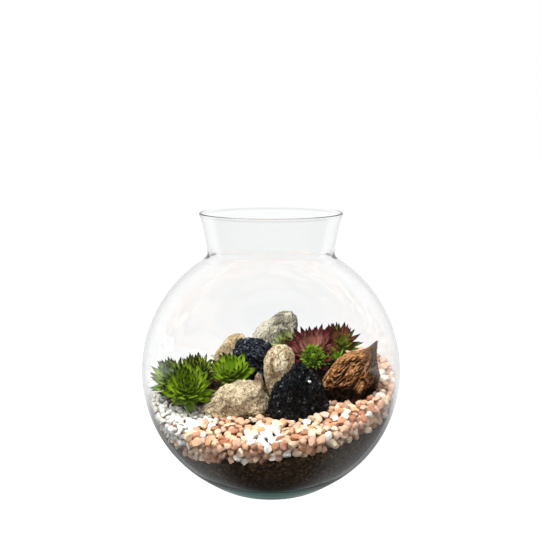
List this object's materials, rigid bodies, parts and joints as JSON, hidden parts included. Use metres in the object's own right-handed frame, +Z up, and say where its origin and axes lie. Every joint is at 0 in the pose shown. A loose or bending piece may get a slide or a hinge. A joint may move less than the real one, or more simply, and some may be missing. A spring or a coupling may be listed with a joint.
{
  "type": "glass plant terrarium",
  "caption": "Ball-shaped glass bowl with a flared collar, planted with houseleek rosettes among stones and driftwood, on soil with pink and white gravel.",
  "frame": {"origin": "under the middle of the flat base, on the surface that the bowl stands on", "axes": "+Z up, along the bowl's axis; the front, where the boulder and the black lava rock lie, faces -Y; +X is to the right, where the driftwood lies"},
  "size_m": [0.2498, 0.2498, 0.2714],
  "materials": {
    "glass": "clear blown glass, faintly green where thick",
    "soil": "dark brown peaty potting soil with fibres and light grains",
    "pink_gravel": "tumbled gravel, salmon, pink, cream and white",
    "white_gravel": "tumbled white marble gravel",
    "tan_stone": "matt, speckled tan and grey fieldstone",
    "lava_rock": "black porous lava with a slight sheen",
    "driftwood": "weathered coarse grain, brown ridges and dark grooves",
    "green_leaf": "satin succulent leaves with dark tips",
    "purple_leaf": "satin succulent leaves, purple red over green"
  },
  "bodies": {
    "root": {"glass_bowl": "glass", "soil": "soil", "pink_gravel": "pink_gravel", "white_gravel": "white_gravel", "front_boulder": "tan_stone", "front_lava_rock": "lava_rock", "standing_stone": "tan_stone", "back_rock": "tan_stone", "back_small_stone": "tan_stone", "back_lava_rock": "lava_rock", "small_brown_stone": "tan_stone", "driftwood": "driftwood", "green_rosette_left": "green_leaf", "green_rosette_front": "green_leaf", "dark_tipped_rosette": "green_leaf", "bright_green_rosette": "green_leaf", "purple_rosette": "purple_leaf", "red_rosette": "purple_leaf", "small_green_rosette": "green_leaf", "light_green_rosette": "green_leaf", "purple_rosette_heart": "green_leaf", "red_rosette_heart": "green_leaf"}
  },
  "joints": []
}
